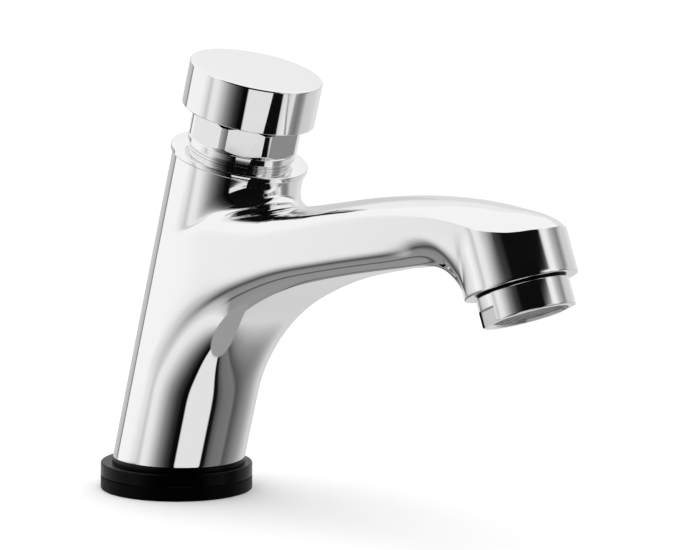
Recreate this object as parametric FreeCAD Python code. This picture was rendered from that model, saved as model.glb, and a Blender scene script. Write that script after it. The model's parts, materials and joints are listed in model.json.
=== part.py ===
import FreeCAD, Part
import os
from math import cos, radians, sin, sqrt
from FreeCAD import Vector

# A push-button, self-closing basin tap. All lengths are in millimetres and all angles in degrees.
# X points the way the spout reaches, Z is up, and the tap is the same on both sides of the plane Y = 0.
# The origin is on the deck, at the centre of the hole that the threaded shank passes through.
# The valve stands on an axis that leans towards the spout. A height on that axis is measured
# along it from the deck. The outlet has its own axis, and a height on it is measured from the rim.

# The leaning column
lean = 16.0
foot_x = -1.8
column_r = 20.0
collar_step = 0.8
collar_t = 1.7
collar_top = 109.8
collar_round = 0.4
saddle_r = 5.0

# The outlet at the end of the spout
spout_reach = 144.2
outlet_z = 77.55
outlet_tilt = 22.0
nose_r = 16.1
nose_root_r = 9.0

# The arch under the spout: three arcs, each with its radius and the slope that it ends at
arch_start = 41.5
arch_low_r = 49.0
arch_low_slope = 28.0
arch_mid_r = 101.0
arch_mid_slope = 14.0
arch_far_r = 357.0
arch_far_slope = 6.5
arch_edge_r = 4.0

# The top of the spout: distance from the outlet, height, crown radius and half width of each section
top_sections = [
    (-130.0, 91.8, 60.0, 30.0),
    (-112.0, 91.3, 58.0, 30.0),
    (-94.0, 91.4, 56.0, 30.0),
    (-82.0, 92.9, 54.0, 30.0),
    (-70.0, 95.0, 50.0, 30.0),
    (-54.0, 97.8, 47.0, 30.0),
    (-37.0, 99.6, 44.0, 30.0),
    (-20.0, 99.9, 43.0, 30.0),
    (-6.0, 99.0, 33.0, 25.0),
    (3.0, 98.1, 23.0, 19.0),
    (9.0, 96.1, 15.0, 12.5),
    (16.0, 89.0, 13.0, 11.0),
]

# The long top edges are soft at the column, and crisp from this far before the outlet and round the nose.
soft_edge_r = 7.0
crisp_edge_r = 0.8
crisp_from = -10.2
side_step = 0.35

# The cored waterways
chamber_r = 13.0
chamber_floor = 46.0
socket_r = 14.0
socket_depth = 16.0
supply_r = 8.0
foot_room_r = 15.0
foot_room_roof = 8.0
spout_way_r = 8.0
spout_way_start = 75.0
spout_way_bend = (-44.0, 88.0)
spout_way_end = 13.1
nose_core_r = 9.0
core_wall = 3.0

# The outlet fitting, a housing with a male M24 thread
thread_r = 12.0
thread_fit = 0.06
thread_len = 8.0
socket_len = 10.5
housing_r = 13.15
housing_len = 8.5
housing_wall = 1.4
housing_lip = 0.5
housing_lip_t = 1.2
mouth_r = 11.1
housing_gap = 0.5
housing_gap_depth = 0.7
slot_count = 2
slot_depth = 1.35
slot_width = 10.0
slot_len = 4.4
slot_turn = -111.0
outlet_washer_t = 2.0
insert_len = 12.5
insert_wall = 1.2
slat_t = 0.8
slat_count = 6
slat_len = 4.0
screen_t = 0.6
screen_hole = 1.6
screen_rings = 2

# The valve bonnet
flat_count = 8
flat_to_flat = 32.2
head_r = 17.0
head_turn = -41.0
head_len = 8.1
head_chamfer = 0.9
neck_r = 16.35
neck_len = 2.6
neck_bevel = 0.3
ring_r = 15.4
ring_len = 0.8
bonnet_washer_r = 15.6
bonnet_washer_t = 0.8
washer_edge = 0.2
bonnet_fit = 0.12
gland_r = 6.0
gland_len = 12.0
gland_wall = 5.0
recess_r = 9.0
oring_t = 1.5
oring_drop = 2.0
oring_edge = 0.35

# The push button
button_r = 20.0
button_len = 13.35
button_room = 5.05
button_wall = 2.6
button_top_t = 5.0
button_edge = 0.5
hub_r = 5.5
hub_drop = 7.6
stroke = 8.0

# The stem and what moves with it
stem_r = 3.0
stem_tail_r = 2.5
stem_top_gap = 5.2
stem_fit = 0.05
groove_depth = 0.4
clip_t = 1.2
clip_r = 5.2
lock_nut_af = 10.0
lock_nut_t = 3.8
piston_len = 6.0
piston_clearance = 0.2
piston_drop = 14.0
seal_len = 3.0
seal_lip = 1.6
seal_web = 1.2
lip_t = 0.4
seal_clearance = 0.05
poppet_r = 6.9
poppet_len = 4.6
poppet_rim = 0.8
valve_washer_t = 2.1
tail_nut_af = 8.0
tail_nut_t = 3.4
tail_beyond = 1.0
seat_gap = 0.1

# The cartridge sleeve, the seat and the spring
sleeve_wall = 2.9
sleeve_clearance = 0.1
sleeve_floor_t = 3.5
sleeve_waist = 1.5
waist_rise = 3.0
waist_room = 1.5
port_r = 4.0
port_count = 4
port_rise = 1.0
sleeve_seal_t = 1.5
seat_r = 5.5
seat_wall = 1.8
seat_lip_t = 0.6
seat_drop = 1.0
spring_wire_r = 0.65
spring_r = 7.6
bush_len = 7.0
stem_oring_t = 2.6
gland_clip_t = 1.2
clip_bite = 0.6
gland_clip_r = 1.5

# The base, and what clamps the tap to the deck
base_margin = 3.45
gasket_t = 4.1
base_ring_t = 4.1
base_step_margin = 0.6
base_step_t = 1.4
base_hole_r = 11.0
base_round = 0.4
shank_r = 10.48
shank_bore_r = 6.0
shank_below = 52.0
shank_grip = 12.0
shank_fit = 0.1
deck_t = 18.0
rubber_washer_r = 20.0
rubber_washer_t = 3.0
steel_washer_r = 19.0
steel_washer_t = 1.5
backnut_af = 30.0
backnut_t = 9.0
tail_thread = 14.7
tail_groove = 1.5
tail_groove_depth = 0.8
strainer_seat_r = 8.6
strainer_flange_t = 1.5
strainer_r = 5.5
strainer_len = 7.0
strainer_wall = 0.6
strainer_hole = 1.6
strainer_hole_count = 6

# Small sizes that many pieces share: gaps between held pieces, and broken corners
hair_gap = 0.02
close_gap = 0.05
stack_gap = 0.1
end_gap = 0.2
free_gap = 0.3
lead_in = 0.8
broken_edge = 0.5

# The size of a cutter that clears everything on one side of a plane
far = 400.0

# Heights that follow from the sizes above
body_foot = gasket_t + base_ring_t + base_step_t
collar_r = column_r + collar_step
gasket_r = column_r + base_margin
base_step_r = column_r + base_step_margin
spout_height = max(height for _, height, _, _ in top_sections)
socket_floor = collar_top - socket_depth
bonnet_bottom = socket_floor + end_gap
head_base = collar_top + bonnet_washer_t + ring_len + neck_len
piston_level = bonnet_bottom - piston_drop
oring_bottom = collar_top - oring_drop - oring_t - free_gap
bonnet_top = head_base + head_len
button_bottom = collar_top + button_room + stroke
button_top = button_bottom + button_len
button_ceiling = button_top - button_top_t
hub_bottom = button_ceiling - hub_drop
recess_floor = bonnet_bottom + gland_wall + gland_len
sleeve_bottom = chamber_floor + sleeve_seal_t
sleeve_r = chamber_r - sleeve_clearance
sleeve_bore_r = sleeve_r - sleeve_wall
sleeve_floor = sleeve_bottom + sleeve_floor_t
seat_bottom = chamber_floor - seat_drop
seat_out_r = seat_r + seat_wall
washer_top = seat_bottom - seat_gap
washer_bottom = washer_top - valve_washer_t
poppet_top = washer_top - poppet_rim
poppet_bottom = poppet_top - poppet_len + poppet_rim
spring_bottom = sleeve_floor
spring_top = piston_level
stem_top = button_top - stem_top_gap
insert_r = thread_r - housing_wall
insert_low = housing_lip_t - housing_len
screen_top = insert_low + slat_len + screen_t


def sine(angle):
    return sin(radians(angle))


def cosine(angle):
    return cos(radians(angle))


def leaned(shape):
    """Puts a piece that was made upright on the column's leaning axis."""
    placed = shape.copy()
    placed.rotate(Vector(0, 0, 0), Vector(0, 1, 0), lean)
    placed.translate(Vector(foot_x, 0, 0))
    return placed


def on_outlet(shape):
    """Puts a piece that was made upright on the outlet's axis, its height 0 at the rim."""
    placed = shape.copy()
    placed.rotate(Vector(0, 0, 0), Vector(0, 1, 0), -outlet_tilt)
    placed.translate(Vector(spout_reach, 0, outlet_z))
    return placed


def turned(outline):
    """A turned piece: a closed outline of (radius, height) points, spun about Z."""
    points = [Vector(radius, 0, height) for radius, height in outline]
    face = Part.Face(Part.makePolygon(points + points[:1]))
    return face.revolve(Vector(0, 0, 0), Vector(0, 0, 1), 360)


def ring(inner, outer, low, high, edge=0.0):
    """A plain ring or washer, with its two outer corners broken by the edge."""
    outline = [(inner, low), (outer - edge, low), (outer, low + edge)]
    outline += [(outer, high - edge), (outer - edge, high), (inner, high)]
    if edge == 0.0:
        outline = [(inner, low), (outer, low), (outer, high), (inner, high)]
    return turned(outline)


def prism(side_count, across_flats, low, high, turn=0.0):
    """A bar with this many flats."""
    step = 360 / side_count
    corner_r = across_flats / 2 / cosine(step / 2)
    angles = [turn + step * (k + 0.5) for k in range(side_count)]
    points = [Vector(corner_r * cosine(a), corner_r * sine(a), low) for a in angles]
    face = Part.Face(Part.makePolygon(points + points[:1]))
    return face.extrude(Vector(0, 0, high - low))


def hex_nut(across_flats, bore_r, low, high):
    """A hexagonal nut with its corners turned off at 30 degrees on both faces."""
    corner_r = across_flats / 2 / cosine(30)
    bevel = corner_r - across_flats / 2
    drop = bevel * sine(30) / cosine(30)
    outline = [(bore_r, low), (across_flats / 2, low), (corner_r, low + drop)]
    outline += [(corner_r, high - drop), (across_flats / 2, high), (bore_r, high)]
    return turned(outline).common(prism(6, across_flats, low, high))


def square_holes(width, circle_r, count, low, high):
    """Upright square cutters, evenly spaced on a circle."""
    cutters = []
    for k in range(count):
        angle = 360 * k / count
        cutter = prism(4, width, low, high)
        cutter.translate(Vector(circle_r * cosine(angle), circle_r * sine(angle), 0))
        cutters.append(cutter)
    return cutters


def column_point(height, forward=0.0):
    """A point at this height on the leaning axis, or this far in front of it."""
    x = foot_x + height * sine(lean) + forward * cosine(lean)
    z = height * cosine(lean) - forward * sine(lean)
    return Vector(x, 0, z)


def outlet_point(height):
    return Vector(spout_reach - height * sine(outlet_tilt), 0, outlet_z + height * cosine(outlet_tilt))


def arch_point(slope):
    """The point where the arch under the spout has this slope."""
    point = column_point(arch_start, column_r)
    steep = 90 - lean
    arcs = [(arch_low_r, arch_low_slope), (arch_mid_r, arch_mid_slope), (arch_far_r, arch_far_slope)]
    for radius, end_slope in arcs:
        low = max(slope, end_slope)
        step = Vector(sine(steep) - sine(low), 0, cosine(low) - cosine(steep))
        point = point + step * radius
        steep = low
        if slope >= end_slope:
            break
    return point


def spout_section(base, slope, half, edge_r):
    """A cross-section of the spout, square to the arch: two rounded lower corners and upright sides.

    It reaches past the top of the spout, or as far as the column's axis where the arch is steep.
    """
    lid = spout_height + soft_edge_r
    ahead = (base.x - foot_x) * cosine(lean) - base.z * sine(lean)
    tall = min((lid - base.z) / cosine(slope), ahead / sine(slope + lean))
    up = Vector(-sine(slope), 0, cosine(slope))

    def at(side, height):
        return base + Vector(0, side, 0) + up * height

    flat = half - edge_r
    bulge = edge_r * (1 - sqrt(0.5))
    edges = [Part.makeLine(at(-flat, 0), at(flat, 0))]
    edges.append(Part.Arc(at(flat, 0), at(half - bulge, bulge), at(half, edge_r)).toShape())
    edges.append(Part.makeLine(at(half, edge_r), at(half, tall)))
    edges.append(Part.makeLine(at(half, tall), at(-half, tall)))
    edges.append(Part.makeLine(at(-half, tall), at(-half, edge_r)))
    edges.append(Part.Arc(at(-half, edge_r), at(bulge - half, bulge), at(-flat, 0)).toShape())
    return Part.Wire(edges)


def spout_bar():
    """The arm of the spout: round where it leaves the column, with tighter edges towards the outlet."""
    column_half = column_r - side_step
    nose_half = nose_r - side_step / 2
    full_round = column_half - side_step
    steep = 90 - lean
    start_x = column_point(arch_start, column_r).x
    sections = []
    for below in (14.0, 2.0):
        base = column_point(arch_start - below, column_half)
        sections.append(spout_section(base, steep, column_half, full_round))
    for slope in (62.0, 48.0, 32.0, 18.0, 11.0, arch_far_slope + 0.5):
        base = arch_point(slope)
        along = (base.x - start_x) / (spout_reach - start_x)
        half = column_half + (nose_half - column_half) * along
        turn = (slope - arch_far_slope) / (steep - arch_far_slope)
        edge_r = arch_edge_r + (full_round - arch_edge_r) * turn ** 1.7
        sections.append(spout_section(base, slope, half, edge_r))
    inside_nose = outlet_point((arch_point(arch_far_slope).z - outlet_z) * 1.7)
    sections.append(spout_section(inside_nose, outlet_tilt, nose_half, arch_edge_r))
    return Part.makeLoft(sections, True, False)


def above_spout():
    """The room above the spout, with the crowned top of the spout as its lower face."""
    lid = spout_height + 3 * column_r
    sections = []
    for offset, height, crown_r, half in top_sections:
        x = spout_reach + offset
        drop = crown_r - sqrt(crown_r ** 2 - half ** 2)
        left = Vector(x, -half, height - drop)
        right = Vector(x, half, height - drop)
        left_lid = Vector(x, -half, lid)
        right_lid = Vector(x, half, lid)
        crown = Part.Arc(left, Vector(x, 0, height), right).toShape()
        sides = [Part.makeLine(right, right_lid), Part.makeLine(left_lid, left)]
        sections.append(Part.Wire([crown, sides[0], Part.makeLine(right_lid, left_lid), sides[1]]))
    return Part.makeLoft(sections, True, False)


def middle(edge):
    return edge.valueAt((edge.FirstParameter + edge.LastParameter) / 2)


def from_outlet_axis(point):
    """Distance of a point from the outlet's axis, and its height on that axis."""
    offset = point - Vector(spout_reach, 0, outlet_z)
    axis = Vector(-sine(outlet_tilt), 0, cosine(outlet_tilt))
    height = offset.dot(axis)
    return (offset - axis * height).Length, height


def from_column_axis(point):
    """Distance of a point from the column's axis, and its height on that axis."""
    offset = point - Vector(foot_x, 0, 0)
    axis = Vector(sine(lean), 0, cosine(lean))
    height = offset.dot(axis)
    return (offset - axis * height).Length, height


def top_edges(shape, crown):
    """The edges where the spout's sides meet its crowned top."""
    change = spout_reach + crisp_from
    found = []
    for edge in shape.Edges:
        centre = middle(edge)
        ahead = centre.x - column_point(from_column_axis(centre)[1]).x
        on_crown = crown.distToShape(Part.Vertex(centre))[0] < 0.01
        if on_crown and ahead > 2 and abs(centre.x - change) > 0.01 and edge.Length > 1:
            found.append(edge)
    return found


def with_soft_sides(arm, crown):
    """Rounds the two long top edges, softly at the column and crisply at the nose."""
    for side in (1, -1):
        edge = [edge for edge in top_edges(arm, crown) if middle(edge).y * side > 0][0]
        radii = [soft_edge_r, crisp_edge_r]
        if edge.valueAt(edge.FirstParameter).x > edge.valueAt(edge.LastParameter).x:
            radii.reverse()
        arm = arm.makeFillet(radii[0], radii[1], [edge])
    return arm


def spout():
    """The arm and the nose, cut to the crowned top, with the root and the top edges rounded."""
    nose_len = (spout_height - outlet_z) / cosine(outlet_tilt) + nose_r
    nose = on_outlet(Part.makeCylinder(nose_r, nose_len))
    lid = above_spout()
    crown = min(lid.Faces, key=lambda face: face.CenterOfMass.z)
    arm = spout_bar().fuse(nose).cut(lid)
    arm = arm.cut(leaned(Part.makeBox(far, far, far, Vector(1 - far, -far / 2, -far / 2))))
    root = []
    for edge in arm.Edges:
        radius, height = from_outlet_axis(middle(edge))
        behind = middle(edge).x < outlet_point(height).x - 1
        if abs(radius - nose_r) < 0.01 and behind and 1 < height and edge.Length > arch_edge_r:
            ends = [Part.Vertex(vertex.Point) for vertex in (edge.Vertexes[0], edge.Vertexes[-1])]
            if min(crown.distToShape(end)[0] for end in ends) > 0.01:
                root.append(edge)
    arm = arm.makeFillet(nose_root_r, root)
    front_room = Part.makeBox(far, far, far, Vector(spout_reach + crisp_from, -far / 2, -far / 2))
    front = arm.common(front_room)
    front = front.makeFillet(crisp_edge_r, top_edges(front, crown))
    return with_soft_sides(arm.cut(front_room), crown).fuse(front)


def waterways():
    """Everything cored or bored out of the casting."""
    chamber = Part.makeCylinder(chamber_r, collar_top - chamber_floor, Vector(0, 0, chamber_floor))
    socket = Part.makeCylinder(socket_r, socket_depth + 1, Vector(0, 0, socket_floor))
    supply_low = body_foot + shank_grip - 2
    supply = Part.makeCylinder(supply_r, chamber_floor - supply_low + 1, Vector(0, 0, supply_low))
    room_low = body_foot + shank_grip + core_wall
    room_high = chamber_floor - foot_room_roof
    room = Part.makeCylinder(foot_room_r, room_high - room_low, Vector(0, 0, room_low))
    cores = [leaned(shape) for shape in (chamber, socket, supply, room)]
    cores.append(Part.makeCylinder(shank_r + shank_fit, shank_grip, Vector(0, 0, body_foot)))
    start = column_point(spout_way_start)
    bend = Vector(spout_reach + spout_way_bend[0], 0, spout_way_bend[1])
    end = outlet_point(spout_way_end)
    cores.append(Part.makeCylinder(spout_way_r, (bend - start).Length, start, bend - start))
    cores.append(Part.makeSphere(spout_way_r, bend))
    cores.append(Part.makeCylinder(spout_way_r, (end - bend).Length, bend, end - bend))
    thread_socket = Part.makeCylinder(thread_r + thread_fit, socket_len + 1, Vector(0, 0, -1))
    nose_core = Part.makeCylinder(nose_core_r, spout_way_end + core_wall)
    cores += [on_outlet(thread_socket), on_outlet(nose_core)]
    return cores


def make_body():
    """The casting: leaning column, spout and collar in one piece, with its waterways."""
    column = leaned(Part.makeCylinder(column_r, collar_top + column_r, Vector(0, 0, -column_r)))
    casting = column.fuse(spout())
    seam = []
    for edge in casting.Edges:
        radius, height = from_column_axis(middle(edge))
        on_column = abs(radius - column_r) < 0.02
        if on_column and 0 < height < collar_top - 1 and edge.Curve.TypeId == "Part::GeomBSplineCurve":
            seam.append(edge)
    casting = casting.makeFillet(saddle_r, seam)
    under = collar_top - collar_t
    flange = [(0, under), (collar_r, under), (collar_r, collar_top - collar_round)]
    flange += [(collar_r - collar_round, collar_top), (0, collar_top)]
    casting = casting.fuse(leaned(turned(flange)))
    casting = casting.cut(Part.makeBox(far, far, far, Vector(-far / 2, -far / 2, body_foot - far)))
    return casting.cut(waterways())


def make_bonnet():
    """The bonnet: threaded plug, ringed neck and eight-sided head round the stem's gland."""
    head = [(recess_r, head_base), (flat_to_flat / 2, head_base), (head_r, head_base + head_chamfer)]
    head += [(head_r, bonnet_top - head_chamfer), (flat_to_flat / 2, bonnet_top), (recess_r, bonnet_top)]
    head_bar = turned(head).common(prism(flat_count, flat_to_flat, head_base, bonnet_top, head_turn))
    shoulder = collar_top + bonnet_washer_t
    plug_r = socket_r - bonnet_fit
    gland_floor = bonnet_bottom + gland_wall
    hole_r = stem_r + free_gap
    plug = [(hole_r, bonnet_bottom), (plug_r - lead_in, bonnet_bottom), (plug_r, bonnet_bottom + lead_in)]
    plug += [(plug_r, shoulder), (ring_r, shoulder), (ring_r, shoulder + ring_len)]
    plug += [(neck_r, shoulder + ring_len + neck_bevel), (neck_r, head_base), (recess_r, head_base)]
    plug += [(recess_r, recess_floor), (gland_r, recess_floor), (gland_r, gland_floor), (hole_r, gland_floor)]
    groove_low = gland_floor + stem_oring_t + bush_len + 3 * stack_gap
    groove = ring(gland_r - clip_bite, gland_r + clip_bite, groove_low, groove_low + gland_clip_t)
    seal_groove = ring(socket_r - oring_t, socket_r, oring_bottom, collar_top - oring_drop)
    return leaned(turned(plug).fuse(head_bar).removeSplitter().cut([groove, seal_groove]))


def make_bonnet_washer():
    return leaned(ring(socket_r, bonnet_washer_r, collar_top, collar_top + bonnet_washer_t, washer_edge))


def make_bonnet_oring():
    """The square-section ring that seals the bonnet in its socket."""
    low = oring_bottom + free_gap / 2
    inner = socket_r - oring_t + hair_gap
    return leaned(ring(inner, socket_r - hair_gap, low, low + oring_t, oring_edge))


def make_guide_bush():
    low = bonnet_bottom + gland_wall + stem_oring_t + 2 * stack_gap
    return leaned(ring(stem_r + stem_fit, gland_r - close_gap, low, low + bush_len, oring_edge))


def make_stem_oring():
    """The square-section ring that seals the stem in the bonnet's gland."""
    low = bonnet_bottom + gland_wall + stack_gap
    return leaned(ring(stem_r + stem_fit, gland_r - close_gap, low, low + stem_oring_t, oring_edge))


def make_gland_clip():
    """The spring clip that holds the bush down, open over a sixth of its circle."""
    low = bonnet_bottom + gland_wall + stem_oring_t + bush_len + 3 * stack_gap
    outer = gland_r + clip_bite - close_gap
    clip = ring(gland_r - gland_clip_r, outer, low + close_gap, low + gland_clip_t - close_gap)
    slot = Part.makeBox(3 * gland_r, gland_r, 3 * gland_clip_t, Vector(0, -gland_r / 2, low - gland_clip_t))
    return leaned(clip.cut(slot))


def make_push_button():
    """The cap: a deep skirt round the bonnet's head, with a hub for the stem."""
    skirt_r = button_r - button_wall
    hole_r = stem_r + stem_fit
    outline = [(hole_r, hub_bottom), (hub_r, hub_bottom), (hub_r, button_ceiling), (skirt_r, button_ceiling)]
    outline += [(skirt_r, button_bottom), (button_r, button_bottom), (button_r, button_top - button_edge)]
    outline += [(button_r - button_edge, button_top), (0, button_top)]
    outline += [(0, stem_top + free_gap), (hole_r, stem_top + free_gap)]
    return leaned(turned(outline))


def make_stem():
    """The stem: screwed into the button above, with a thinner tail that carries the valve washer."""
    piston_top = piston_level + piston_len
    groove_r = stem_r - groove_depth
    tail_end = poppet_bottom - tail_nut_t - tail_beyond
    outline = [(0, tail_end), (stem_tail_r - broken_edge, tail_end), (stem_tail_r, tail_end + broken_edge)]
    outline += [(stem_tail_r, washer_top), (stem_r, washer_top), (stem_r, piston_top)]
    outline += [(groove_r, piston_top), (groove_r, piston_top + clip_t), (stem_r, piston_top + clip_t)]
    outline += [(stem_r, stem_top - broken_edge), (stem_r - broken_edge, stem_top), (0, stem_top)]
    return leaned(turned(outline))


def make_lock_nut():
    return leaned(hex_nut(lock_nut_af, stem_r + stem_fit, hub_bottom - lock_nut_t, hub_bottom))


def make_piston_clip():
    """The clip that the piston bears on when the spring lifts it."""
    low = piston_level + piston_len + close_gap
    clip = ring(stem_r - groove_depth + close_gap, clip_r, low, low + clip_t - 2 * close_gap)
    slot = Part.makeBox(2 * clip_r, 1.6 * stem_r, 3 * clip_t, Vector(0, -0.8 * stem_r, low - clip_t))
    return leaned(clip.cut(slot))


def make_piston():
    """The dashpot piston, with a seat for its lip seal and a hollow for the end of the spring."""
    high = piston_level + piston_len
    piston_r = sleeve_bore_r - piston_clearance
    seal_r = piston_r - seal_lip
    outline = [(stem_r + stem_fit, piston_level), (piston_r, piston_level), (piston_r, high - seal_len)]
    outline += [(seal_r, high - seal_len), (seal_r, high), (stem_r + stem_fit, high)]
    return leaned(turned(outline))


def make_piston_seal():
    """The lip seal: it opens upwards, so the space above fills fast and empties slowly."""
    high = piston_level + piston_len
    inner = sleeve_bore_r - piston_clearance - seal_lip
    outer = sleeve_bore_r - seal_clearance
    low = high - seal_len + close_gap
    outline = [(inner + hair_gap, low), (outer - broken_edge, low), (outer, high)]
    outline += [(outer - lip_t, high + lip_t), (outer - 2 * lip_t, high - seal_web)]
    outline.append((inner + hair_gap, high - seal_web))
    return leaned(turned(outline))


def make_poppet():
    """The cup that carries the valve washer."""
    washer_r = poppet_r - poppet_rim
    outline = [(stem_tail_r + stem_fit, poppet_bottom), (poppet_r - lead_in, poppet_bottom)]
    outline += [(poppet_r, poppet_bottom + lead_in), (poppet_r, poppet_top), (washer_r, poppet_top)]
    outline += [(washer_r, washer_bottom), (stem_tail_r + stem_fit, washer_bottom)]
    return leaned(turned(outline))


def make_valve_washer():
    washer_r = poppet_r - poppet_rim - close_gap
    return leaned(ring(stem_tail_r + stem_fit, washer_r, washer_bottom, washer_top, washer_edge))


def make_tail_nut():
    low = poppet_bottom - tail_nut_t
    return leaned(hex_nut(tail_nut_af, stem_tail_r + stem_fit, low, poppet_bottom))


def make_cartridge_sleeve():
    """The sleeve: the dashpot's bore above, a waist with ports for the water below."""
    waist_r = sleeve_r - sleeve_waist
    seat_hole_r = seat_out_r + close_gap
    waist_low = sleeve_floor + waist_rise
    waist_high = spout_way_start + spout_way_r + waist_room
    outline = [(seat_hole_r, sleeve_bottom), (sleeve_r, sleeve_bottom), (sleeve_r, waist_low)]
    outline += [(waist_r, waist_low + sleeve_waist), (waist_r, waist_high)]
    outline += [(sleeve_r, waist_high + sleeve_waist)]
    outline += [(sleeve_r, bonnet_bottom), (sleeve_bore_r, bonnet_bottom), (sleeve_bore_r, sleeve_floor)]
    outline += [(seat_hole_r, sleeve_floor)]
    sleeve = turned(outline)
    port_level = waist_low + sleeve_waist + port_r + port_rise
    ports = []
    for k in range(port_count):
        angle = 360 * k / port_count
        way = Vector(cosine(angle), sine(angle), 0)
        ports.append(Part.makeCylinder(port_r, 2 * sleeve_r, Vector(0, 0, port_level), way))
    return leaned(sleeve.cut(ports))


def make_sleeve_seal():
    return leaned(ring(supply_r + broken_edge, sleeve_r - end_gap, chamber_floor, sleeve_bottom))


def make_valve_seat():
    """The seat ring, with the raised lip that the valve washer closes on."""
    lip = seat_r + seat_lip_t
    outline = [(seat_r, seat_bottom), (lip, seat_bottom), (seat_out_r, seat_bottom + seat_lip_t)]
    outline += [(seat_out_r, sleeve_floor), (seat_r, sleeve_floor)]
    return leaned(turned(outline))


def make_return_spring():
    """The return spring, as the sleeve of space that its wire fills."""
    inner = spring_r - spring_wire_r
    outer = spring_r + spring_wire_r
    return leaned(ring(inner, outer, spring_bottom, spring_top))


def make_aerator_housing():
    """The screwed outlet ring, with two slots for its key on the lower part."""
    bottom = -housing_len
    neck = housing_r - housing_gap_depth
    bore_r = insert_r + close_gap
    lip_r = bore_r - housing_lip
    outline = [(mouth_r, bottom), (housing_r - broken_edge, bottom), (housing_r, bottom + broken_edge)]
    outline += [(housing_r, -housing_gap), (neck, -housing_gap), (neck, 0)]
    outline += [(thread_r, 0), (thread_r, thread_len), (bore_r, thread_len)]
    outline += [(bore_r, insert_low), (lip_r, insert_low), (lip_r, bottom + housing_lip_t / 2)]
    housing = turned(outline)
    for k in range(slot_count):
        inside = Vector(housing_r - slot_depth, -slot_width / 2, bottom - 1)
        cutter = Part.makeBox(2 * slot_depth, slot_width, slot_len + 1, inside)
        cutter.rotate(Vector(0, 0, 0), Vector(0, 0, 1), slot_turn + 360 * k / slot_count)
        housing = housing.cut(cutter)
    return on_outlet(housing)


def make_aerator_insert():
    """The plastic insert: an outer wall with thin slats across its mouth."""
    low = insert_low
    wall_r = insert_r - insert_wall
    shell = ring(wall_r, insert_r, low, low + insert_len)
    pitch = 2 * wall_r / (slat_count + 1)
    slats = []
    for k in range(slat_count):
        offset = -wall_r + pitch * (k + 1)
        slats.append(Part.makeBox(2 * wall_r, slat_t, slat_len, Vector(-wall_r, offset - slat_t / 2, low)))
    round_room = Part.makeCylinder(wall_r + insert_wall / 4, slat_len, Vector(0, 0, low))
    grid = slats[0].fuse(slats[1:]).common(round_room)
    return on_outlet(shell.fuse(grid))


def make_aerator_screen():
    """The perforated screen that lies on the slats."""
    screen_r = insert_r - insert_wall - stack_gap
    low = screen_top - screen_t + hair_gap
    disc = Part.makeCylinder(screen_r, screen_t, Vector(0, 0, low))
    cutters = []
    for k in range(screen_rings):
        circle_r = screen_r * (k + 1) / (screen_rings + 0.6)
        cutters += square_holes(screen_hole, circle_r, 6 * (k + 1), low - 1, low + screen_t + 1)
    return on_outlet(disc.cut(cutters))


def make_aerator_washer():
    high = thread_len + outlet_washer_t
    return on_outlet(ring(nose_core_r, thread_r - stack_gap, thread_len, high, oring_edge))


def make_gasket():
    return ring(base_hole_r, gasket_r, 0, gasket_t, base_round)


def make_base_ring():
    """The plastic ring under the casting, with a raised step that the casting's foot stands on."""
    plate = ring(base_hole_r, gasket_r, gasket_t, gasket_t + base_ring_t, base_round)
    centre = column_point(body_foot / cosine(lean))
    step_low = gasket_t + base_ring_t
    step = Part.makeCylinder(base_step_r, base_step_t, Vector(centre.x, 0, step_low))
    hole = Part.makeCylinder(base_hole_r, 3 * base_step_t, Vector(0, 0, step_low - base_step_t))
    return plate.fuse(step.cut(hole))


def make_shank():
    """The shank. A groove divides the length that the backnut uses from the tail for the supply's nut."""
    top = body_foot + shank_grip - end_gap
    bottom = -shank_below
    mouth = bottom + strainer_flange_t
    groove = bottom + lead_in + tail_thread
    groove_r = shank_r - tail_groove_depth
    outline = [(strainer_seat_r, bottom), (shank_r - lead_in, bottom), (shank_r, bottom + lead_in)]
    outline += [(shank_r, groove), (groove_r, groove), (groove_r, groove + tail_groove)]
    outline += [(shank_r, groove + tail_groove), (shank_r, top - lead_in)]
    outline += [(shank_r - lead_in, top), (shank_bore_r, top)]
    outline += [(shank_bore_r, mouth), (strainer_seat_r, mouth)]
    return turned(outline)


def make_rubber_washer():
    return ring(base_hole_r, rubber_washer_r, -deck_t - rubber_washer_t, -deck_t, base_round)


def make_steel_washer():
    high = -deck_t - rubber_washer_t
    return ring(base_hole_r, steel_washer_r, high - steel_washer_t, high, washer_edge)


def make_backnut():
    high = -deck_t - rubber_washer_t - steel_washer_t
    return hex_nut(backnut_af, shank_r + shank_fit, high - backnut_t, high)


def make_inlet_strainer():
    """The strainer: a flanged cup with a perforated end, in the mouth of the shank."""
    low = -shank_below
    top = low + strainer_len
    inner = strainer_r - strainer_wall
    flange_r = strainer_seat_r - close_gap
    flange_top = low + strainer_flange_t - close_gap
    outline = [(inner, low), (flange_r, low), (flange_r, flange_top), (strainer_r, flange_top)]
    outline += [(strainer_r, top), (0, top)]
    outline += [(0, top - strainer_wall), (inner, top - strainer_wall)]
    cup = turned(outline)
    through = 2 * strainer_wall
    cutters = square_holes(strainer_hole, inner * 0.6, strainer_hole_count, top - through, top + through)
    cutters += square_holes(strainer_hole, 0, 1, top - through, top + through)
    return cup.cut(cutters)


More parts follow.
